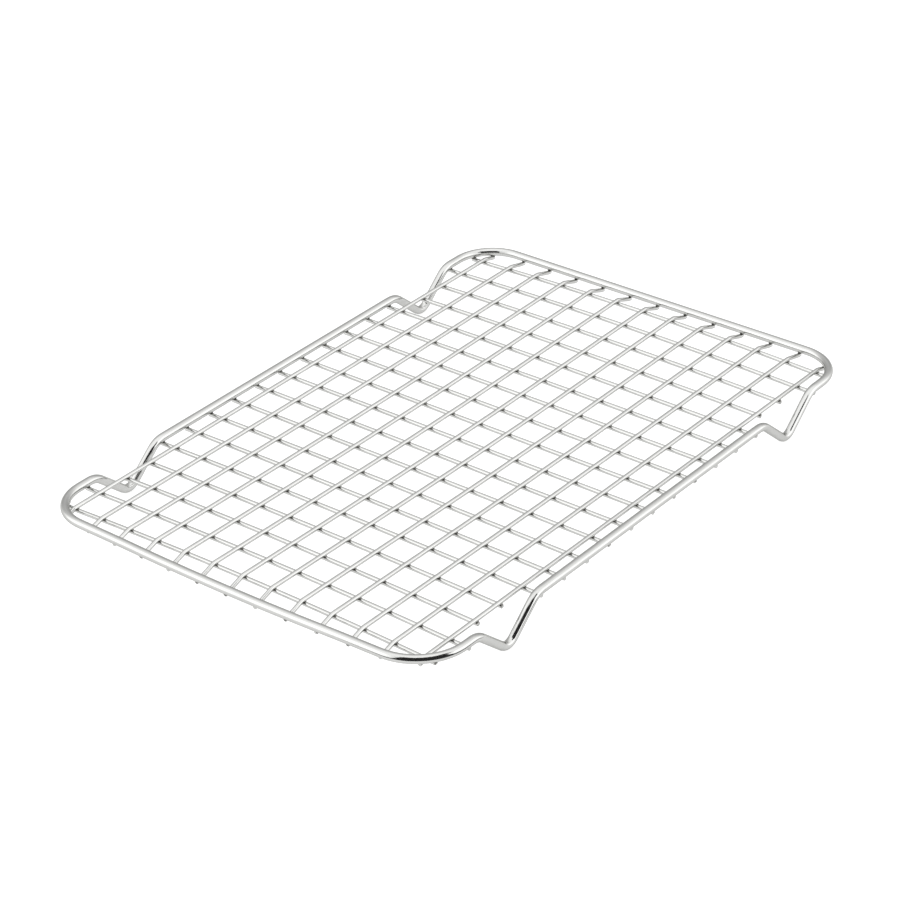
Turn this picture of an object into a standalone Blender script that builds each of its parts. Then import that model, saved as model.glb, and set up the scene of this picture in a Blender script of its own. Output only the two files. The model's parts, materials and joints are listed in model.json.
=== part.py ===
"""Wire cooling rack.

A closed frame wire with four V-shaped feet carries a welded deck of thinner wires.
The cross wires run below the long wires, and every wire that reaches the frame
passes under it. X is the rack's length, Y its width, and Z points up. The origin
lies under the middle of the rack, on the surface that the feet stand on.
"""

import math

import bpy
from mathutils import Vector

# Wires, in metres
FRAME_RADIUS = 0.002
WIRE_RADIUS = 0.001
WELD_GAP = 0.0001
FRAME_BEVEL_RESOLUTION = 4
WIRE_BEVEL_RESOLUTION = 2

# Frame outline, along the wire's centre line
RAIL_Y = 0.105
PLUS_RAIL_X = 0.156
MINUS_RAIL_X = -0.1536
MINUS_RAIL_BOW = 0.0024
BOW_HALF_LENGTH = 0.081
CORNER_RADII = {(-1, -1): 0.024, (-1, 1): 0.0215, (1, -1): 0.0215, (1, 1): 0.0205}
CORNER_STEPS = 8
BOW_STEPS = 8

# Feet: V-shaped dips in the two long rails
FOOT_CENTRES_X = (-0.1026, 0.1053)
FOOT_DROP = 0.0145
FOOT_SLOPE = math.radians(40)
FOOT_TIP_RADIUS = 0.006
FOOT_TIP_STEPS = 5
FOOT_SHOULDER_RADIUS = 0.011
FOOT_SHOULDER_STEPS = 4

# Deck
PITCH = 0.016
LONG_WIRES = 13
CROSS_WIRES = 19
DECK_CENTRE_X = 0.0005
SHORT_CROSS_WIRES = (2, 3, 15, 16)
SHORT_WIRE_STUB = 0.0012
END_PAST_RAIL = 0.0003

# The deck bows up towards the middle of each end
CROWN = 0.002
CROWN_START = 0.024
CROWN_POWER = 1.2
CROWN_SPANS = 3
CROSS_SPANS = 6

# End jogs, where a long wire steps down to pass under the frame
JOG_START = 0.0008
JOG_CLEARANCE = 0.0013
JOG_RADIUS = 0.003
JOG_STEPS = 2

# Heights of the centre lines
FRAME_Z = FOOT_DROP + FRAME_RADIUS
UNDER_FRAME_Z = FRAME_Z - FRAME_RADIUS - WELD_GAP - WIRE_RADIUS
CROSS_Z = UNDER_FRAME_Z
LONG_Z = CROSS_Z + 2 * WIRE_RADIUS + WELD_GAP

# Half sizes of the deck, between its outermost wires
DECK_HALF_X = PITCH * (CROSS_WIRES - 1) / 2
DECK_HALF_Y = PITCH * (LONG_WIRES - 1) / 2

STEEL = (0.74, 0.735, 0.72, 1.0)
FRAME_ROUGHNESS = 0.12
WIRE_ROUGHNESS = 0.16


def clear_scene():
    for item in list(bpy.data.objects):
        bpy.data.objects.remove(item, do_unlink=True)


def make_material(name, roughness):
    material = bpy.data.materials.new(name)
    material.use_nodes = True
    shader = material.node_tree.nodes["Principled BSDF"]
    shader.inputs["Base Color"].default_value = STEEL
    shader.inputs["Metallic"].default_value = 1.0
    shader.inputs["Roughness"].default_value = roughness
    return material


def fillet(before, corner, after, radius, steps):
    """Points of the arc that rounds one corner of a path."""
    back = (before - corner).normalized()
    ahead = (after - corner).normalized()
    half_angle = back.angle(ahead) / 2
    centre = corner + (back + ahead).normalized() * radius / math.sin(half_angle)
    start = corner + back * radius / math.tan(half_angle) - centre
    side = (ahead - back).normalized() * radius
    middle = (corner - centre).normalized() * radius
    sweep = start.angle(middle)
    turns = [sweep * (2 * step / steps - 1) for step in range(steps + 1)]
    return [centre + middle * math.cos(turn) + side * math.sin(turn) for turn in turns]


def rounded_path(corners, closed=False):
    """A path through (point, radius, steps) corners, where radius 0 keeps a corner sharp."""
    points = []
    count = len(corners)
    for index, (point, radius, steps) in enumerate(corners):
        at_end = not closed and index in (0, count - 1)
        if at_end or radius == 0:
            points.append(point)
        else:
            before = corners[index - 1][0]
            after = corners[(index + 1) % count][0]
            points.extend(fillet(before, point, after, radius, steps))
    return points


def mitre(before, point, after):
    """How much a section grows at a bend, so that the wire keeps its thickness."""
    turn = (point - before).angle(after - point)
    return 1 / math.cos(turn / 2)


def add_wire(name, points, radius, bevel_resolution, material, parent, closed=False):
    """A wire with flat facets on its top and bottom, one wire diameter apart."""
    sides = 4 + 2 * bevel_resolution
    curve = bpy.data.curves.new(name, "CURVE")
    curve.dimensions = "3D"
    curve.twist_mode = "Z_UP"
    curve.bevel_resolution = bevel_resolution
    curve.bevel_depth = radius / math.cos(math.pi / sides)
    curve.use_fill_caps = True
    spline = curve.splines.new("POLY")
    spline.use_cyclic_u = closed
    spline.points.add(len(points) - 1)
    place = points[0]
    last = len(points) - 1
    for index, point in enumerate(points):
        control = spline.points[index]
        control.co = (*(point - place), 1)
        control.tilt = math.pi / sides
        if closed or 0 < index < last:
            control.radius = mitre(points[index - 1], point, points[(index + 1) % len(points)])
    curve.materials.append(material)
    wire = bpy.data.objects.new(name, curve)
    wire.location = place
    wire.parent = parent
    return wire


def foot_corners(centre_x, rail_y):
    """One V-shaped foot, from its -X shoulder to its +X shoulder."""
    tip_half_step = FOOT_SLOPE / FOOT_TIP_STEPS
    tip_lift = FOOT_TIP_RADIUS * (1 / math.cos(FOOT_SLOPE) - math.cos(tip_half_step))
    depth = FOOT_DROP + tip_lift
    run = depth / math.tan(FOOT_SLOPE)
    shoulder = (FOOT_SHOULDER_RADIUS, FOOT_SHOULDER_STEPS)
    return [
        (Vector((centre_x - run, rail_y, FRAME_Z)), *shoulder),
        (Vector((centre_x, rail_y, FRAME_Z - depth)), FOOT_TIP_RADIUS, FOOT_TIP_STEPS),
        (Vector((centre_x + run, rail_y, FRAME_Z)), *shoulder),
    ]


def long_rail_corners(rail_y):
    """The feet of one long rail, in the order of +X."""
    corners = []
    for centre_x in FOOT_CENTRES_X:
        corners.extend(foot_corners(centre_x, rail_y))
    return corners


def minus_rail_x(y):
    """Where the bowed short rail at -X runs at this Y."""
    share = min(abs(y) / BOW_HALF_LENGTH, 1)
    return MINUS_RAIL_X - MINUS_RAIL_BOW * (1 - share**2)


def bowed_rail_corners():
    """The short rail at -X, from +Y to -Y, without its ends."""
    corners = []
    for step in range(1, BOW_STEPS):
        y = BOW_HALF_LENGTH * (1 - 2 * step / BOW_STEPS)
        corners.append((Vector((minus_rail_x(y), y, FRAME_Z)), 0, 0))
    return corners


def frame_path():
    """The frame wire's closed centre line, counterclockwise from above."""
    corners = [
        (Vector((MINUS_RAIL_X, -RAIL_Y, FRAME_Z)), CORNER_RADII[-1, -1], CORNER_STEPS),
        *long_rail_corners(-RAIL_Y),
        (Vector((PLUS_RAIL_X, -RAIL_Y, FRAME_Z)), CORNER_RADII[1, -1], CORNER_STEPS),
        (Vector((PLUS_RAIL_X, RAIL_Y, FRAME_Z)), CORNER_RADII[1, 1], CORNER_STEPS),
        *reversed(long_rail_corners(RAIL_Y)),
        (Vector((MINUS_RAIL_X, RAIL_Y, FRAME_Z)), CORNER_RADII[-1, 1], CORNER_STEPS),
        *bowed_rail_corners(),
    ]
    return rounded_path(corners, closed=True)


def corner_inset(distance, rail_distance, radius):
    """How far a corner's arc has left the line of a rail, at a distance from the middle."""
    past = max(abs(distance) - (rail_distance - radius), 0)
    return radius - math.sqrt(radius**2 - past**2)


def short_rail_x(side, y):
    """X of the short rail, or of its corner's arc, where a long wire crosses it."""
    inset = corner_inset(y, RAIL_Y, CORNER_RADII[side, 1 if y > 0 else -1])
    if side > 0:
        return PLUS_RAIL_X - inset
    return minus_rail_x(y) + inset


def long_rail_y(x, side):
    """Y of the long rail, or of its corner's arc, where a cross wire crosses it."""
    end, rail_x = (1, PLUS_RAIL_X) if x > 0 else (-1, -MINUS_RAIL_X)
    return side * (RAIL_Y - corner_inset(x, rail_x, CORNER_RADII[end, side]))


def deck_lift(along, y):
    """How far the deck is bowed up, where along counts from the deck's middle."""
    share = max((abs(along) - CROWN_START) / (DECK_HALF_X - CROWN_START), 0)
    across = max(1 - (y / DECK_HALF_Y) ** 2, 0)
    return CROWN * share**CROWN_POWER * across


def long_wire_end(side, y):
    """Half of a long wire, from the deck's middle out to its end under the frame."""
    corners = []
    for span in range(CROWN_SPANS + 1):
        along = CROWN_START + (DECK_HALF_X - CROWN_START) * span / CROWN_SPANS
        height = LONG_Z + deck_lift(along, y)
        corners.append((Vector((DECK_CENTRE_X + side * along, y, height)), 0, 0))
    rail_x = short_rail_x(side, y)
    upper_x = DECK_CENTRE_X + side * (DECK_HALF_X + JOG_START)
    upper_z = LONG_Z + deck_lift(DECK_HALF_X, y)
    corners[-1] = (Vector((upper_x, y, upper_z)), JOG_RADIUS, JOG_STEPS)
    lower_x = rail_x - side * JOG_CLEARANCE
    corners.append((Vector((lower_x, y, UNDER_FRAME_Z)), JOG_RADIUS, JOG_STEPS))
    end_x = rail_x + side * END_PAST_RAIL
    corners.append((Vector((end_x, y, UNDER_FRAME_Z)), 0, 0))
    return corners


def long_wire_path(y):
    return rounded_path([*reversed(long_wire_end(-1, y)), *long_wire_end(1, y)])


def cross_wire_path(index):
    """A cross wire from -Y to +Y, bowed with the deck."""
    along = PITCH * index - DECK_HALF_X
    x = DECK_CENTRE_X + along
    if index in SHORT_CROSS_WIRES:
        low, high = -DECK_HALF_Y - SHORT_WIRE_STUB, DECK_HALF_Y + SHORT_WIRE_STUB
    else:
        low, high = long_rail_y(x, -1) - END_PAST_RAIL, long_rail_y(x, 1) + END_PAST_RAIL
    points = [Vector((x, low, CROSS_Z))]
    if deck_lift(along, 0) > 0:
        for span in range(CROSS_SPANS + 1):
            y = DECK_HALF_Y * (2 * span / CROSS_SPANS - 1)
            points.append(Vector((x, y, CROSS_Z + deck_lift(along, y))))
    points.append(Vector((x, high, CROSS_Z)))
    return points


def build_frame(parent):
    material = make_material("frame_wire", FRAME_ROUGHNESS)
    return [
        add_wire(
            "frame_wire",
            frame_path(),
            FRAME_RADIUS,
            FRAME_BEVEL_RESOLUTION,
            material,
            parent,
            closed=True,
        )
    ]


def build_long_wires(parent):
    material = make_material("long_wire", WIRE_ROUGHNESS)
    wires = []
    for index in range(LONG_WIRES):
        path = long_wire_path(DECK_HALF_Y - PITCH * index)
        name = f"long_wire_{index + 1:02d}"
        wires.append(
            add_wire(name, path, WIRE_RADIUS, WIRE_BEVEL_RESOLUTION, material, parent)
        )
    return wires


def build_cross_wires(parent):
    material = make_material("cross_wire", WIRE_ROUGHNESS)
    wires = []
    for index in range(CROSS_WIRES):
        path = cross_wire_path(index)
        name = f"cross_wire_{index + 1:02d}"
        wires.append(
            add_wire(name, path, WIRE_RADIUS, WIRE_BEVEL_RESOLUTION, material, parent)
        )
    return wires


def main():
    clear_scene()
    parts = bpy.data.collections.new("cooling_rack")
    bpy.context.scene.collection.children.link(parts)
    rack = bpy.data.objects.new("rack_origin", None)
    parts.objects.link(rack)
    for wire in build_frame(rack) + build_long_wires(rack) + build_cross_wires(rack):
        parts.objects.link(wire)


main()
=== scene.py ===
"""The looks of the cooling rack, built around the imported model. Lengths are in metres.

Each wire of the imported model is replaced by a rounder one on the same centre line. The welds sink
the wires into each other, their ends are sheared, and the steel has the marks of its drawing die.
"""

import json
import math

import bpy
import numpy as np
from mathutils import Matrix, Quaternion, Vector


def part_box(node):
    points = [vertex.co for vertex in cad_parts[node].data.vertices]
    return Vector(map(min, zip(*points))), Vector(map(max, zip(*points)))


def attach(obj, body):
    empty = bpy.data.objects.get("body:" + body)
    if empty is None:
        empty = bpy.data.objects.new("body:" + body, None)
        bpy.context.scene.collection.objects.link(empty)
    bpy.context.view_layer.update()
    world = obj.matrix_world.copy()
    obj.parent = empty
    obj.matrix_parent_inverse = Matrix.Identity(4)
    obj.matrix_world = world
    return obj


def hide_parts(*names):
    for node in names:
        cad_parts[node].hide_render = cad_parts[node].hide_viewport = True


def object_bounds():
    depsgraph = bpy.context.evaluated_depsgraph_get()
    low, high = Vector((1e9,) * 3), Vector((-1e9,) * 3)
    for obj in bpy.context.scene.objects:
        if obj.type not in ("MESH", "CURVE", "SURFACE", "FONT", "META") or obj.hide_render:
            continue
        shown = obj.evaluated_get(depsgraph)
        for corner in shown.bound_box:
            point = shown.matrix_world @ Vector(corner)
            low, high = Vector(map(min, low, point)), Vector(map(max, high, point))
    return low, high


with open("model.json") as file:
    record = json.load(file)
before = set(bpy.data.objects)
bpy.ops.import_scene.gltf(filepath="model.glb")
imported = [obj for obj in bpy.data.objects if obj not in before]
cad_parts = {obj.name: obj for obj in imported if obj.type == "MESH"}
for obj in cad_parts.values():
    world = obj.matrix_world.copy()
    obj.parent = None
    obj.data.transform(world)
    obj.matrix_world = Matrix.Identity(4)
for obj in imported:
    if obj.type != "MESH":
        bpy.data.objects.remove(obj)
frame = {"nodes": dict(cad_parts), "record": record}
cad_low, cad_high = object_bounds()

# Wires
FRAME_RADIUS = 0.002
WIRE_RADIUS = 0.001
FRAME_SIDES = 40
WIRE_SIDES = 24
SHARP_ANGLE = math.radians(38)
VARIATION_SEED = 7

# The frame's outline, along its centre line
CORNER_RADII = {(-1, -1): 0.024, (-1, 1): 0.0215, (1, -1): 0.0215, (1, 1): 0.0205}
MINUS_RAIL_BOW = 0.0024
BOW_HALF_LENGTH = 0.081
BOW_STEPS = 8
FOOT_SLOPE = math.radians(40)
FOOT_TIP_RADIUS = 0.006
FOOT_SHOULDER_RADIUS = 0.011

# The deck
SHORT_CROSS_WIRES = (2, 3, 15, 16)
CROWN = 0.002
CROWN_START = 0.024
CROWN_POWER = 1.2
JOG_START = 0.0008
JOG_CLEARANCE = 0.0013
JOG_RADIUS = 0.003
CURVE_POINTS_PER_SPACE = 4

# Welds: how far two wires sink into each other, and how far the metal squeezed out blends them
DECK_SET_DOWN = 0.0004
RAIL_SET_DOWN = 0.0001
DECK_BLEND = 0.00035
RAIL_BLEND = 0.0006
BLEND_VARIATION = 0.3
WELD_INSET = 0.000015
DECK_WELD_REACH = 0.0013
RAIL_WELD_REACH = 0.0019
WELD_COLUMNS = 28
WELD_ROWS = 11
WELD_STEEPEST = math.radians(60)
WELD_STEPS = 60

# The wires' sheared ends
LONG_END_PAST_RAIL = -0.0002
CROSS_END_PAST_RAIL = 0.0003
END_VARIATION = 0.00015
SHORT_WIRE_STUB = 0.0012
CUT_ROLLOVER = 0.00018
CUT_RINGS = 4
CUT_TILT = math.radians(7)
CUT_DEPTH = 0.001
CUT_LEAN_TURNS = 3

# A bent wire is pressed a little flat in its bends
BEND_FLATTENING = 0.12

# How finely a centre line is followed
ARC_POINTS = 24
DENSE_STEP = 0.0005
BEND_PASSES = 6
MOST_TURN = math.radians(3)
MOST_STEP = 0.006
END_STRETCH = 0.005
END_STEP = 0.0005


# ---------------------------------------------------------------- places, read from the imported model

def box_middle(node):
    low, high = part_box(node)
    return (low + high) / 2


frame_low, frame_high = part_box("frame_wire")
long_nodes = sorted(name for name in frame["nodes"] if name.startswith("long_wire"))
cross_nodes = sorted(name for name in frame["nodes"] if name.startswith("cross_wire"))
foot_mounts = [m for m in frame["record"]["mounts"] if m["name"].startswith("foot")]

long_y = [round(box_middle(node).y, 5) for node in long_nodes]
cross_x = [round(box_middle(node).x, 5) for node in cross_nodes]
foot_centres_x = sorted({mount["pos_m"][0] for mount in foot_mounts})
rail_y = abs(foot_mounts[0]["pos_m"][1])
frame_z = round(frame_high.z - FRAME_RADIUS, 4)
foot_drop = round(frame_z - FRAME_RADIUS - frame_low.z, 4)
plus_rail_x = round(frame_high.x - FRAME_RADIUS, 4)
minus_rail_x = round(frame_low.x + FRAME_RADIUS + MINUS_RAIL_BOW, 4)
deck_centre_x = (cross_x[0] + cross_x[-1]) / 2
deck_half_x = (cross_x[-1] - cross_x[0]) / 2
deck_half_y = (long_y[0] - long_y[-1]) / 2
pitch = 2 * deck_half_y / (len(long_y) - 1)

# Each weld's two wires overlap by the set-down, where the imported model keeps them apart
under_frame_z = frame_z - FRAME_RADIUS - WIRE_RADIUS + RAIL_SET_DOWN
cross_z = under_frame_z
long_z = cross_z + 2 * WIRE_RADIUS - DECK_SET_DOWN


# ---------------------------------------------------------------- centre lines

def unit(vector):
    return vector / np.linalg.norm(vector)


def point(x, y, z):
    return np.array((x, y, z), float)


def fillet(before, corner, after, radius):
    """Points of the arc that rounds one corner of a path."""
    back = unit(before - corner)
    ahead = unit(after - corner)
    half_angle = math.acos(np.clip(back @ ahead, -1, 1)) / 2
    centre = corner + unit(back + ahead) * radius / math.sin(half_angle)
    middle = unit(corner - centre) * radius
    side = unit(ahead - back) * radius
    sweep = math.pi / 2 - half_angle
    turns = np.linspace(-sweep, sweep, ARC_POINTS)
    return [centre + middle * math.cos(turn) + side * math.sin(turn) for turn in turns]


def rounded_path(corners, closed=False):
    """A path through (point, radius) corners, where radius 0 keeps a corner as it is."""
    points = []
    count = len(corners)
    for index, (corner, radius) in enumerate(corners):
        if radius == 0:
            points.append(corner)
        else:
            before = corners[index - 1][0]
            after = corners[(index + 1) % count][0]
            points.extend(fillet(before, corner, after, radius))
    if closed:
        points.append(points[0])
    return points


def dense(points):
    """The same path with a point every half millimetre or so."""
    found = [points[0]]
    for start, end in zip(points, points[1:]):
        pieces = max(1, round(np.linalg.norm(end - start) / DENSE_STEP))
        for step in range(1, pieces + 1):
            found.append(start + (end - start) * step / pieces)
    return np.array(found)


def relaxed(points, closed):
    """The path with its bends eased into its straights, as a bent wire's are."""
    if closed:
        points = points[:-1]
    for _ in range(BEND_PASSES):
        middle = (np.roll(points, 1, axis=0) + np.roll(points, -1, axis=0)) / 2
        eased = (points + middle) / 2
        if not closed:
            eased[0], eased[-1] = points[0], points[-1]
        points = eased
    return np.vstack([points, points[:1]]) if closed else points


def thinned(points):
    """Fewer points: close together in bends and at the two ends, and further apart on straights."""
    ahead = np.diff(points, axis=0)
    lengths = np.linalg.norm(ahead, axis=1)
    along = np.concatenate([[0], np.cumsum(lengths)])
    from_end = np.minimum(along, along[-1] - along)
    directions = ahead / lengths[:, None]
    kept = [0]
    for index in range(1, len(points) - 1):
        turn = math.acos(np.clip(directions[index] @ directions[kept[-1]], -1, 1))
        step = along[index] - along[kept[-1]]
        most_step = END_STEP if from_end[index] < END_STRETCH else MOST_STEP
        if turn > MOST_TURN or step >= most_step:
            kept.append(index)
    kept.append(len(points) - 1)
    return points[kept]


def wire_path(corners, closed=False):
    return thinned(relaxed(dense(rounded_path(corners, closed)), closed))


def foot_corners(centre_x, y):
    """One V-shaped foot, from its -X shoulder to its +X shoulder."""
    tip_lift = FOOT_TIP_RADIUS * (1 / math.cos(FOOT_SLOPE) - 1)
    depth = foot_drop + tip_lift
    run = depth / math.tan(FOOT_SLOPE)
    return [
        (point(centre_x - run, y, frame_z), FOOT_SHOULDER_RADIUS),
        (point(centre_x, y, frame_z - depth), FOOT_TIP_RADIUS),
        (point(centre_x + run, y, frame_z), FOOT_SHOULDER_RADIUS),
    ]


def long_rail_corners(y):
    return [corner for x in foot_centres_x for corner in foot_corners(x, y)]


def short_rail_bow(y):
    """How far the short rail at -X is bowed outwards at this Y."""
    share = min(abs(y) / BOW_HALF_LENGTH, 1)
    return MINUS_RAIL_BOW * (1 - share**2)


def bowed_rail_corners():
    """The short rail at -X, from +Y to -Y, without its ends."""
    corners = []
    for step in range(1, BOW_STEPS):
        y = BOW_HALF_LENGTH * (1 - 2 * step / BOW_STEPS)
        corners.append((point(minus_rail_x - short_rail_bow(y), y, frame_z), 0))
    return corners


def frame_path():
    """The frame wire's closed centre line, counterclockwise from above."""
    corners = [
        (point(minus_rail_x, -rail_y, frame_z), CORNER_RADII[-1, -1]),
        *long_rail_corners(-rail_y),
        (point(plus_rail_x, -rail_y, frame_z), CORNER_RADII[1, -1]),
        (point(plus_rail_x, rail_y, frame_z), CORNER_RADII[1, 1]),
        *reversed(long_rail_corners(rail_y)),
        (point(minus_rail_x, rail_y, frame_z), CORNER_RADII[-1, 1]),
        *bowed_rail_corners(),
    ]
    return wire_path(corners, closed=True)


def corner_inset(distance, rail_distance, radius):
    """How far a corner's arc has left the line of a rail, at a distance from the middle."""
    past = max(abs(distance) - (rail_distance - radius), 0)
    return radius - math.sqrt(radius**2 - past**2)


def short_rail_x(side, y):
    """X of the short rail, or of its corner's arc, where a long wire crosses it."""
    inset = corner_inset(y, rail_y, CORNER_RADII[side, 1 if y > 0 else -1])
    if side > 0:
        return plus_rail_x - inset
    return minus_rail_x - short_rail_bow(y) + inset


def long_rail_y(x, side):
    """Y of the long rail, or of its corner's arc, where a cross wire crosses it."""
    end, rail_x = (1, plus_rail_x) if x > 0 else (-1, -minus_rail_x)
    return side * (rail_y - corner_inset(x, rail_x, CORNER_RADII[end, side]))


def deck_lift(along, y):
    """How far the deck is bowed up, where along counts from the deck's middle."""
    share = max((abs(along) - CROWN_START) / (deck_half_x - CROWN_START), 0)
    across = max(1 - (y / deck_half_y) ** 2, 0)
    return CROWN * share**CROWN_POWER * across


def long_wire_end(side, y, end_past_rail):
    """Half of a long wire, from the deck's middle out to its end under the frame."""
    corners = []
    for along in np.arange(0, deck_half_x, pitch / CURVE_POINTS_PER_SPACE):
        lifted = long_z + deck_lift(along, y)
        corners.append((point(deck_centre_x + side * along, y, lifted), 0))
    upper_x = deck_centre_x + side * (deck_half_x + JOG_START)
    upper_z = long_z + deck_lift(deck_half_x, y)
    rail_x = short_rail_x(side, y)
    corners.append((point(upper_x, y, upper_z), JOG_RADIUS))
    corners.append((point(rail_x - side * JOG_CLEARANCE, y, under_frame_z), JOG_RADIUS))
    corners.append((point(rail_x + side * end_past_rail, y, under_frame_z), 0))
    return corners


def long_wire_path(y, ends):
    minus_half = long_wire_end(-1, y, ends[0])
    plus_half = long_wire_end(1, y, ends[1])
    return wire_path([*reversed(minus_half), *plus_half[1:]])


def cross_wire_path(index, ends):
    """A cross wire from -Y to +Y, bowed with the deck."""
    x = cross_x[index]
    along = x - deck_centre_x
    if index in SHORT_CROSS_WIRES:
        low, high = -deck_half_y - SHORT_WIRE_STUB, deck_half_y + SHORT_WIRE_STUB
    else:
        low, high = long_rail_y(x, -1) - CROSS_END_PAST_RAIL, long_rail_y(x, 1) + CROSS_END_PAST_RAIL
    corners = [(point(x, low - ends[0], cross_z), 0)]
    for y in np.linspace(-deck_half_y, deck_half_y, CURVE_POINTS_PER_SPACE * len(long_y)):
        corners.append((point(x, y, cross_z + deck_lift(along, y)), 0))
    corners.append((point(x, high + ends[1], cross_z), 0))
    return wire_path(corners)


# ---------------------------------------------------------------- meshes

def add_mesh(name, points, faces, material):
    mesh = bpy.data.meshes.new(name)
    mesh.from_pydata(points, [], faces)
    mesh.materials.append(material)
    mesh.shade_smooth()
    mesh.set_sharp_from_angle(angle=SHARP_ANGLE)
    piece = bpy.data.objects.new(name, mesh)
    bpy.context.scene.collection.objects.link(piece)
    return piece


def cut_end(centres, radius):
    """The last rings before a sheared end, whose edge the blade has rolled over, and their sizes."""
    end = centres[-1]
    outward = unit(end - centres[-2])
    turns = np.linspace(0, math.pi / 2, CUT_RINGS)
    back = CUT_ROLLOVER * (1 - np.sin(turns))
    sizes = 1 - CUT_ROLLOVER / radius * (1 - np.cos(turns))
    return end - outward * back[:, None], sizes


def with_cut_ends(centres, radius):
    last, last_sizes = cut_end(centres, radius)
    first, first_sizes = cut_end(centres[::-1], radius)
    sizes = np.concatenate([first_sizes[::-1], np.ones(len(centres) - 2), last_sizes])
    return np.vstack([first[::-1], centres[1:-1], last]), sizes


def differences(values, closed):
    if closed:
        return (np.roll(values, -1, axis=0) - np.roll(values, 1, axis=0)) / 2
    return np.gradient(values, axis=0)


def flattened(tangents, steps, direction, radius, closed):
    """The wire's height along a direction, compared to a straight wire's."""
    curvature = differences(tangents, closed) / steps[:, None]
    bend = np.abs((curvature * direction).sum(axis=1)) * radius
    return 1 - BEND_FLATTENING * np.minimum(bend, 1)


def tilt_cuts(points, centres, tangents, along, tilts):
    """Leans a wire's two cut faces over, each about its own line."""
    for tilt, distance in zip(tilts, (along, along[-1] - along)):
        lean = np.array((math.cos(tilt), math.sin(tilt), math.sin(CUT_LEAN_TURNS * tilt)))
        share = np.maximum(1 - distance / CUT_DEPTH, 0) * math.tan(CUT_TILT)
        offset = ((points - centres[:, None]) * lean).sum(axis=2)
        points = points + (offset * share[:, None])[..., None] * tangents[:, None]
    return points


def tube_faces(rings, sides, closed):
    faces = []
    for ring in range(rings if closed else rings - 1):
        start, end = ring * sides, (ring + 1) % rings * sides
        for side in range(sides):
            other = (side + 1) % sides
            faces.append((start + side, start + other, end + other, end + side))
    if not closed:
        faces.append(tuple(reversed(range(sides))))
        faces.append(tuple(range((rings - 1) * sides, rings * sides)))
    return faces


def add_wire(name, centres, radius, sides, material, cut_tilts=None):
    """A round wire along its centre line, closed if it has no cuts. Its drawn attribute is where each
    point of its surface was before the wire was bent: across, up and along the straight wire."""
    closed = cut_tilts is None
    if closed:
        centres, sizes = centres[:-1], np.ones(len(centres) - 1)
    else:
        centres, sizes = with_cut_ends(centres, radius)
    ahead = differences(centres, closed)
    steps = np.linalg.norm(ahead, axis=1)
    tangents = ahead / steps[:, None]
    across = np.cross((0, 0, 1), tangents)
    across /= np.linalg.norm(across, axis=1)[:, None]
    upward = np.cross(tangents, across)
    lengths = np.linalg.norm(np.diff(centres, axis=0), axis=1)
    along = np.concatenate([[0], np.cumsum(lengths)])
    wide = radius * sizes * flattened(tangents, steps, across, radius, closed)
    tall = radius * sizes * flattened(tangents, steps, upward, radius, closed)
    turns = np.arange(sides) * 2 * math.pi / sides
    cosines, sines = np.cos(turns), np.sin(turns)
    points = (
        centres[:, None]
        + (wide[:, None] * cosines)[..., None] * across[:, None]
        + (tall[:, None] * sines)[..., None] * upward[:, None]
    )
    if not closed:
        points = tilt_cuts(points, centres, tangents, along, cut_tilts)
    drawn = np.empty_like(points)
    drawn[..., 0] = radius * cosines
    drawn[..., 1] = radius * sines
    drawn[..., 2] = along[:, None]
    faces = tube_faces(len(centres), sides, closed)
    piece = add_mesh(name, points.reshape(-1, 3).tolist(), faces, material)
    attribute = piece.data.attributes.new("drawn", "FLOAT_VECTOR", "POINT")
    attribute.data.foreach_set("vector", drawn.reshape(-1).astype(np.float32))
    return piece


def stand_on_floor(piece):
    """Stretches the feet below the rails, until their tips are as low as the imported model's."""
    rail_underside = frame_z - FRAME_RADIUS
    lowest = min(vertex.co.z for vertex in piece.data.vertices)
    stretch = (rail_underside - cad_low.z) / (rail_underside - lowest)
    for vertex in piece.data.vertices:
        below = rail_underside - vertex.co.z
        if below > 0:
            vertex.co.z = rail_underside - below * stretch


# ---------------------------------------------------------------- welds

def weld_rays():
    """Directions from a weld's middle to its surface: rows of columns, then the two poles."""
    lift = np.linspace(-WELD_STEEPEST, WELD_STEEPEST, WELD_ROWS)[:, None]
    turn = np.arange(WELD_COLUMNS)[None] * 2 * math.pi / WELD_COLUMNS
    rows = np.stack(
        [np.cos(lift) * np.cos(turn), np.cos(lift) * np.sin(turn), np.sin(lift) + 0 * turn], axis=2
    )
    return np.vstack([rows.reshape(-1, 3), [(0, 0, -1), (0, 0, 1)]])


def weld_faces():
    faces = []
    for row in range(WELD_ROWS - 1):
        start, end = row * WELD_COLUMNS, (row + 1) * WELD_COLUMNS
        for column in range(WELD_COLUMNS):
            other = (column + 1) % WELD_COLUMNS
            faces.append((start + column, start + other, end + other, end + column))
    low_pole = WELD_ROWS * WELD_COLUMNS
    last_row = low_pole - WELD_COLUMNS
    for column in range(WELD_COLUMNS):
        other = (column + 1) % WELD_COLUMNS
        faces.append((other, column, low_pole))
        faces.append((last_row + column, last_row + other, low_pole + 1))
    return faces


def rod_distance(points, axis_point, direction, radius):
    """Distance from points to the surface of an endless round wire."""
    apart = points - axis_point
    return np.linalg.norm(np.cross(apart, direction), axis=-1) - radius


def blended(first, second, blend):
    """Distance to two wires whose inner corner is filled, where blend sets the fill's size."""
    fill = np.maximum(blend - np.abs(first - second), 0)
    return np.minimum(first, second) - fill**2 / (4 * blend)


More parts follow.
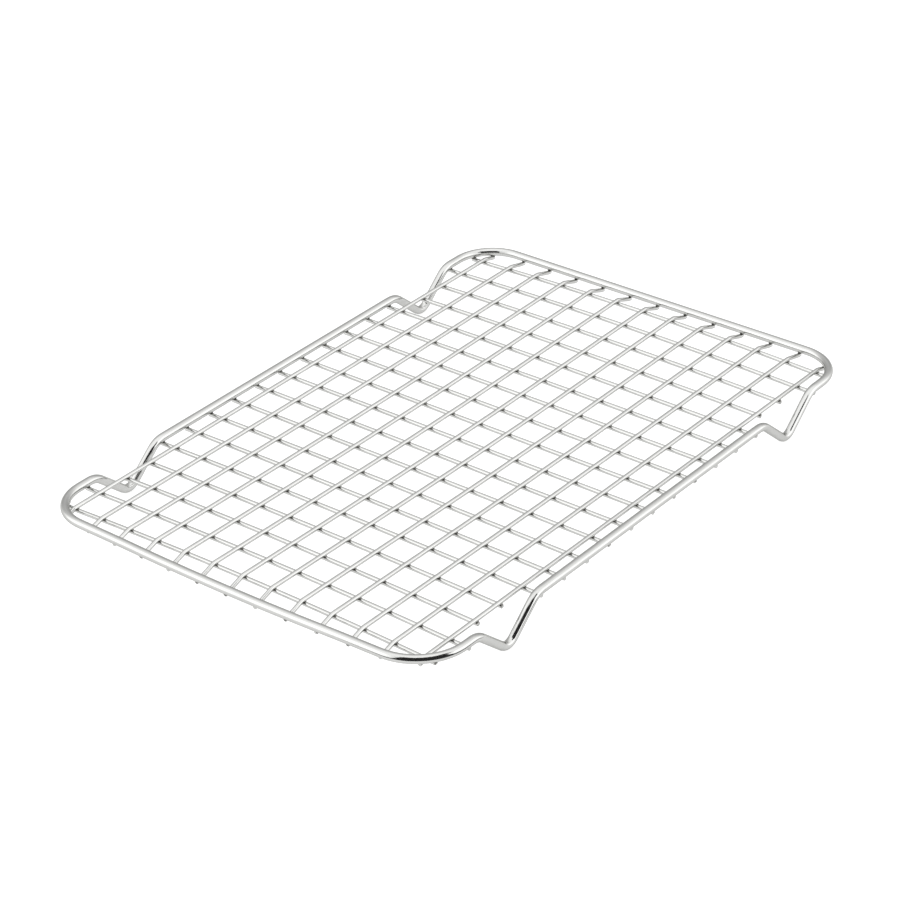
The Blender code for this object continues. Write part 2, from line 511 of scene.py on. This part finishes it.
def weld_points(distance, reach):
    """Where the rays from a weld's middle leave the two wires, or their reach inside them."""
    rays = weld_rays()
    steps = np.linspace(0, reach, WELD_STEPS)
    values = distance(rays[:, None] * steps[None, :, None]) + WELD_INSET
    outside = values > 0
    first = np.argmax(outside, axis=1)
    first[~outside.any(axis=1)] = WELD_STEPS - 1
    rows = np.arange(len(rays))
    before, after = values[rows, first - 1], values[rows, first]
    change = np.where(before == after, 1, before - after)
    share = np.clip(before / change, 0, 1)
    length = steps[first - 1] + (steps[first] - steps[first - 1]) * share
    return rays * length[:, None]


def deck_weld(blend):
    """A weld of a long wire on a cross wire, around the middle of their contact."""
    lift = point(0, 0, WIRE_RADIUS - DECK_SET_DOWN / 2)
    along, across = point(1, 0, 0), point(0, 1, 0)

    def distance(points):
        upper = rod_distance(points, lift, along, WIRE_RADIUS)
        lower = rod_distance(points, -lift, across, WIRE_RADIUS)
        return blended(upper, lower, blend)

    return weld_points(distance, DECK_WELD_REACH)


def rail_weld(blend, rail, outward, end_past_rail):
    """A weld of a wire's end under the frame, from the point where their centre lines cross,
    halfway up their contact. The weld's middle lies half a contact inside that point."""
    rail_lift = point(0, 0, FRAME_RADIUS - RAIL_SET_DOWN / 2)
    wire_lift = point(0, 0, RAIL_SET_DOWN / 2 - WIRE_RADIUS)
    contact_start = math.sqrt(FRAME_RADIUS**2 - rail_lift[2] ** 2)
    middle = outward * (end_past_rail - contact_start) / 2

    def distance(points):
        places = points + middle
        upper = rod_distance(places, rail_lift, rail, FRAME_RADIUS)
        lower = rod_distance(places, wire_lift, outward, WIRE_RADIUS)
        lower = np.maximum(lower, places @ outward - end_past_rail)
        return blended(upper, lower, blend)

    return weld_points(distance, RAIL_WELD_REACH) + middle


def add_welds(name, welds, material):
    """One piece of many welds, each given as its place and its points."""
    faces, points = [], []
    for place, around in welds:
        start = sum(len(group) for group in points)
        faces.extend([tuple(start + corner for corner in face) for face in weld_faces()])
        points.append(around + place)
    return add_mesh(name, np.vstack(points).tolist(), faces, material)


def weld_blends(blend, count, variation):
    return blend * (1 + BLEND_VARIATION * variation.uniform(-1, 1, count))


def deck_welds(variation):
    blends = weld_blends(DECK_BLEND, len(long_y) * len(cross_x), variation)
    places = [(x, y) for x in cross_x for y in long_y]
    contact_z = cross_z + WIRE_RADIUS - DECK_SET_DOWN / 2
    for (x, y), blend in zip(places, blends):
        lift = deck_lift(x - deck_centre_x, y)
        yield point(x, y, contact_z + lift), deck_weld(blend)


def rail_contacts():
    """Every wire end under the frame: its place, the rail's direction, outward, and the end."""
    nudge = WIRE_RADIUS
    for side in (-1, 1):
        for y in long_y:
            x = short_rail_x(side, y)
            turn = short_rail_x(side, y + nudge) - short_rail_x(side, y - nudge)
            rail = unit(point(turn, 2 * nudge, 0))
            yield (x, y), rail, point(side, 0, 0), LONG_END_PAST_RAIL
        for index, x in enumerate(cross_x):
            if index not in SHORT_CROSS_WIRES:
                y = long_rail_y(x, side)
                turn = long_rail_y(x + nudge, side) - long_rail_y(x - nudge, side)
                rail = unit(point(2 * nudge, turn, 0))
                yield (x, y), rail, point(0, side, 0), CROSS_END_PAST_RAIL


def rail_welds(variation):
    contacts = list(rail_contacts())
    blends = weld_blends(RAIL_BLEND, len(contacts), variation)
    contact_z = frame_z - FRAME_RADIUS + RAIL_SET_DOWN / 2
    for ((x, y), rail, outward, end), blend in zip(contacts, blends):
        yield point(x, y, contact_z), rail_weld(blend, rail, outward, end)


# ---------------------------------------------------------------- materials

class Nodes:
    """Short calls for one node tree: each adds a node and gives its output."""

    def __init__(self, tree):
        self.tree = tree

    def add(self, kind, output=0, inputs=(), **settings):
        node = self.tree.nodes.new(kind)
        for name, value in settings.items():
            setattr(node, name, value)
        for socket, value in dict(inputs).items():
            if isinstance(value, bpy.types.NodeSocket):
                self.tree.links.new(value, node.inputs[socket])
            else:
                node.inputs[socket].default_value = value
        return node.outputs[output]

    def math(self, operation, first, second=0.0, third=0.0):
        inputs = {0: first, 1: second, 2: third}
        return self.add("ShaderNodeMath", inputs=inputs, operation=operation)

    def ramp(self, value, low, high, to_low=0.0, to_high=1.0):
        """A value brought from one range to another, eased at both ends."""
        inputs = {
            "Value": value, "From Min": low, "From Max": high, "To Min": to_low, "To Max": to_high,
        }
        return self.add("ShaderNodeMapRange", inputs=inputs, interpolation_type="SMOOTHSTEP")

    def noise(self, place, scales, detail=2.0, roughness=0.5):
        inputs = {"Vector": place, "Scale": scales}
        placed = self.add("ShaderNodeMapping", inputs=inputs)
        inputs = {"Vector": placed, "Scale": 1.0, "Detail": detail, "Roughness": roughness}
        return self.add("ShaderNodeTexNoise", output="Fac", inputs=inputs)

    def mix(self, share, first, second):
        node = self.tree.nodes.new("ShaderNodeMix")
        node.data_type = "RGBA"
        self.tree.links.new(share, node.inputs["Factor"])
        colours = [socket for socket in node.inputs if socket.type == "RGBA"]
        for socket, value in zip(colours, (first, second)):
            if isinstance(value, bpy.types.NodeSocket):
                self.tree.links.new(value, socket)
            else:
                socket.default_value = (*value, 1)
        return next(socket for socket in node.outputs if socket.type == "RGBA")


def new_material(name):
    material = bpy.data.materials.new(name)
    material.use_nodes = True
    shader = material.node_tree.nodes["Principled BSDF"]
    return material, shader, Nodes(material.node_tree)


# Wires: their colours, how much the steel keeps of the light along its edges, and how rough it is
STEEL_LIGHT = (0.645, 0.647, 0.635)
STEEL_DARK = (0.605, 0.607, 0.594)
EDGE_TINT = (0.62, 0.62, 0.61, 1)
SMOOTHEST = 0.07
ROUGHEST = 0.17
SCUFF_ROUGHNESS = 0.02

# The duller plating beside a weld, which is also painted darker there as the shade in the crevice
# between the two wires: how far from the crossing it is whole and has ended, and how much a side
# has to face the weld for it to start and be whole
CREVICE_SHADE = (0.30, 0.295, 0.28)
CREVICE_ROUGHNESS = 0.12
CREVICE_WHOLE = 0.0009
CREVICE_END = 0.0022
CREVICE_FACING = (0.1, 0.8)

# Painted shade: the welds' colours are near black, standing in for the shade in the crevice where the
# two wires meet
WELD_LIGHT = (0.30, 0.295, 0.28)
WELD_DARK = (0.06, 0.057, 0.052)
WELD_SMOOTHEST = 0.12
WELD_ROUGHEST = 0.3

# Noise scales, in cells per metre: across, up and along a straightened wire, or along X, Y and Z
DIE_LINES = (9000, 9000, 45)
PLATING_PATCHES = (350, 350, 60)
SCUFFS = (2500, 2500, 1600)
WELD_GRAIN = (5000, 5000, 5000)
WELD_SHADE_PATCHES = (900, 900, 900)

# The range of a noise's values over which its effect grows from nothing to all
NOISE_RANGE = (0.3, 0.7)
SCUFF_RANGE = (0.58, 0.72)


def set_steel(shader, nodes, colour, rough):
    nodes.tree.links.new(colour, shader.inputs["Base Color"])
    nodes.tree.links.new(rough, shader.inputs["Roughness"])
    shader.inputs["Metallic"].default_value = 1
    shader.inputs["Specular Tint"].default_value = EDGE_TINT


def wire_material(name, weld_side=None):
    """Bright drawn wire: fine lines along it from the drawing die, faint patches and scuffs. Near
    the deck's welds the plating is duller, and its colour is painted darker as the shade in the
    crevice, on the side that faces the weld: +1 up, -1 down."""
    material, shader, nodes = new_material(name)
    drawn = nodes.add("ShaderNodeAttribute", output="Vector", attribute_name="drawn")
    lines = nodes.noise(drawn, DIE_LINES, detail=3)
    patches = nodes.noise(drawn, PLATING_PATCHES, detail=3)
    scuffs = nodes.noise(drawn, SCUFFS, detail=4, roughness=0.7)
    scuffed = nodes.ramp(scuffs, *SCUFF_RANGE)
    colour = nodes.mix(nodes.ramp(patches, *NOISE_RANGE), STEEL_LIGHT, STEEL_DARK)
    rough = nodes.ramp(lines, *NOISE_RANGE, SMOOTHEST, ROUGHEST)
    rough = nodes.math("MULTIPLY_ADD", scuffed, SCUFF_ROUGHNESS, rough)
    if weld_side:
        place = nodes.add("ShaderNodeTexCoord", output="Object")
        if weld_side < 0:
            x = nodes.add("ShaderNodeSeparateXYZ", output="X", inputs={0: place})
            from_grid = nodes.math("SUBTRACT", x, deck_centre_x)
        else:
            from_grid = nodes.add("ShaderNodeSeparateXYZ", output="Y", inputs={0: place})
        away = nodes.math("PINGPONG", from_grid, pitch / 2)
        near = nodes.ramp(away, CREVICE_END, CREVICE_WHOLE)
        height = nodes.add("ShaderNodeSeparateXYZ", output="Y", inputs={0: drawn})
        facing = nodes.math("MULTIPLY", height, weld_side / WIRE_RADIUS)
        facing = nodes.ramp(facing, *CREVICE_FACING)
        # Duller plating and painted shade: near each crossing, the side facing the weld is drawn
        # darker, as the crevice between the wires would lie in shade
        dull_and_shaded = nodes.math("MULTIPLY", near, facing)
        colour = nodes.mix(dull_and_shaded, colour, CREVICE_SHADE)
        rough = nodes.math("MULTIPLY_ADD", dull_and_shaded, CREVICE_ROUGHNESS, rough)
    set_steel(shader, nodes, colour, rough)
    return material


def weld_material():
    """The squeezed-out metal: duller than the wires, and grainy. Its colour is painted shade, near
    black in random patches, for the shade in the crevice where the wires meet.
    """
    material, shader, nodes = new_material("weld_steel")
    place = nodes.add("ShaderNodeTexCoord", output="Object")
    grain = nodes.noise(place, WELD_GRAIN, detail=4, roughness=0.6)
    shade_patches = nodes.noise(place, WELD_SHADE_PATCHES, detail=2)
    # Painted shade, in random patches between two dark colours
    colour = nodes.mix(nodes.ramp(shade_patches, *NOISE_RANGE), WELD_LIGHT, WELD_DARK)
    rough = nodes.ramp(grain, *NOISE_RANGE, WELD_SMOOTHEST, WELD_ROUGHEST)
    set_steel(shader, nodes, colour, rough)
    return material


# ---------------------------------------------------------------- camera, floor and light

CAMERA_TARGET = (-0.01278, -0.00560, 0.0165)
CAMERA_AZIMUTH = -51.294
CAMERA_ELEVATION = 30.384
CAMERA_ROLL = -1.386
CAMERA_DISTANCE = 1.3671
CAMERA_LENS = 124.21

FLOOR_HALF_SIZE = 8
FLOOR_BELOW = 0.0001
FLOOR_WHITE = (0.35, 0.35, 0.35, 1)
FLOOR_ROUGHNESS = 0.9
FLOOR_GLOW = 0.60
FLOOR_GLOW_SEEN = 0.20

ROOM_LIGHT = 1.0
# Each softbox: the bearing from +X and the height of its middle, the angles from there at which
# it starts to fade and has faded, and how bright it is. The last one takes light away: it is the
# darker end of the room, which the deck's wires show as grey.
SOFTBOXES = (
    (-62, 0, 15, 55, 0.75),
    (138, 12, 12, 45, 0.75),
    (0, 90, 20, 70, 0.35),
    (42, 20, 20, 60, -0.4),
)

# Black cards around the camera, each a curved strip: the bearings of its two ends, and the outline
# it follows outwards and upwards. The low one starts on the floor, at a gap from the rack's box.
CARD_GAP = 0.045
CARD_COLUMNS = 24
CARD_BLACK = (0.02, 0.02, 0.02, 1)
LOW_CARD_OUTLINE = ((0, 0.001), (0.40, 0.001), (0.55, 0.10), (0.60, 0.30), (0.60, 0.90))
HIGH_CARD_OUTLINE = ((0.60, 0.42), (0.60, 1.05))
BLACK_CARDS = (
    ("black_card_low", -172, -101, LOW_CARD_OUTLINE),
    ("black_card_high", -101, -88, HIGH_CARD_OUTLINE),
)


def bearing_vector(bearing, height):
    bearing, height = math.radians(bearing), math.radians(height)
    level = math.cos(height)
    return Vector((math.cos(bearing) * level, math.sin(bearing) * level, math.sin(height)))


def add_camera():
    azimuth, elevation = math.radians(CAMERA_AZIMUTH), math.radians(CAMERA_ELEVATION)
    level = math.cos(elevation)
    back = Vector((math.sin(azimuth) * level, -math.cos(azimuth) * level, math.sin(elevation)))
    data = bpy.data.cameras.new("camera")
    data.lens = CAMERA_LENS
    camera = bpy.data.objects.new("camera", data)
    camera.location = Vector(CAMERA_TARGET) + back * CAMERA_DISTANCE
    camera.rotation_mode = "QUATERNION"
    roll = Quaternion((0, 0, 1), math.radians(CAMERA_ROLL))
    camera.rotation_quaternion = (-back).to_track_quat("-Z", "Y") @ roll
    bpy.context.scene.collection.objects.link(camera)
    bpy.context.scene.camera = camera


def add_floor():
    """A white table top, lit from below, so that the thin wires leave no shadow on it. The camera
    sees it a little brighter than the steel does."""
    size = FLOOR_HALF_SIZE
    corners = [(-size, -size, 0), (size, -size, 0), (size, size, 0), (-size, size, 0)]
    material, shader, nodes = new_material("table_white")
    shader.inputs["Base Color"].default_value = FLOOR_WHITE
    shader.inputs["Roughness"].default_value = FLOOR_ROUGHNESS
    shader.inputs["Emission Color"].default_value = (1, 1, 1, 1)
    from_camera = nodes.add("ShaderNodeLightPath", output="Is Camera Ray")
    glow = nodes.math("MULTIPLY_ADD", from_camera, FLOOR_GLOW_SEEN, FLOOR_GLOW)
    nodes.tree.links.new(glow, shader.inputs["Emission Strength"])
    floor = add_mesh("floor", corners, [(0, 1, 2, 3)], material)
    floor.location.z = cad_low.z - FLOOR_BELOW


def add_black_card(name, first_bearing, last_bearing, outline):
    """Only reflections see it."""
    points, faces = [], []
    rows = len(outline)
    for column in range(CARD_COLUMNS + 1):
        share = column / CARD_COLUMNS
        outward = bearing_vector(first_bearing * (1 - share) + last_bearing * share, 0)
        nearest = min(cad_high.x / abs(outward.x), cad_high.y / abs(outward.y)) + CARD_GAP
        for distance, z in outline:
            points.append(tuple(outward * max(distance, nearest) + Vector((0, 0, z))))
    for column in range(CARD_COLUMNS):
        for row in range(rows - 1):
            start = column * rows + row
            faces.append((start, start + rows, start + rows + 1, start + 1))
    material, shader, _ = new_material(name)
    shader.inputs["Base Color"].default_value = CARD_BLACK
    shader.inputs["Roughness"].default_value = 1
    shader.inputs["Specular IOR Level"].default_value = 0
    card = add_mesh(name, points, faces, material)
    card.visible_camera = False
    card.visible_diffuse = False
    card.visible_shadow = False


def add_studio_light():
    """A white room with softboxes at two sides and overhead, and a darker end behind the rack. The
    camera itself sees plain white."""
    world = bpy.data.worlds.new("studio")
    world.use_nodes = True
    nodes = Nodes(world.node_tree)
    direction = nodes.add("ShaderNodeTexCoord", output="Generated")
    light = ROOM_LIGHT
    for bearing, height, inner, outer, strength in SOFTBOXES:
        middle = bearing_vector(bearing, height)
        inputs = {0: direction, 1: middle}
        toward = nodes.add(
            "ShaderNodeVectorMath", output="Value", inputs=inputs, operation="DOT_PRODUCT"
        )
        low, high = math.cos(math.radians(outer)), math.cos(math.radians(inner))
        light = nodes.math("ADD", nodes.ramp(toward, low, high, 0.0, strength), light)
    from_camera = nodes.add("ShaderNodeLightPath", output="Is Camera Ray")
    seen = nodes.math("MAXIMUM", light, from_camera)
    background = world.node_tree.nodes["Background"]
    nodes.tree.links.new(seen, background.inputs["Strength"])
    background.inputs["Color"].default_value = (1, 1, 1, 1)
    bpy.context.scene.world = world


# ---------------------------------------------------------------- the rack

def settle(piece, slot, *nodes):
    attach(piece, "root")
    if nodes:
        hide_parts(*nodes)


def build_rack():
    variation = np.random.default_rng(VARIATION_SEED)
    frame_steel = wire_material("frame_steel")
    long_steel = wire_material("long_wire_steel", weld_side=-1)
    cross_steel = wire_material("cross_wire_steel", weld_side=1)
    weld_steel = weld_material()
    piece = add_wire("frame_wire_drawn", frame_path(), FRAME_RADIUS, FRAME_SIDES, frame_steel)
    stand_on_floor(piece)
    settle(piece, "frame_wire", "frame_wire")
    for node, y in zip(long_nodes, long_y):
        ends = LONG_END_PAST_RAIL + variation.uniform(-1, 1, 2) * END_VARIATION
        tilts = variation.uniform(0, 2 * math.pi, 2)
        path = long_wire_path(y, ends)
        piece = add_wire(node + "_drawn", path, WIRE_RADIUS, WIRE_SIDES, long_steel, tilts)
        settle(piece, "long_wire", node)
    for index, node in enumerate(cross_nodes):
        ends = variation.uniform(-1, 1, 2) * END_VARIATION
        tilts = variation.uniform(0, 2 * math.pi, 2)
        path = cross_wire_path(index, ends)
        piece = add_wire(node + "_drawn", path, WIRE_RADIUS, WIRE_SIDES, cross_steel, tilts)
        settle(piece, "cross_wire", node)
    settle(add_welds("deck_welds", deck_welds(variation), weld_steel), "cross_wire")
    settle(add_welds("rail_welds", rail_welds(variation), weld_steel), "frame_wire")


add_camera()
add_floor()
for black_card in BLACK_CARDS:
    add_black_card(*black_card)
add_studio_light()
build_rack()
bpy.context.scene.view_settings.view_transform = "Standard"
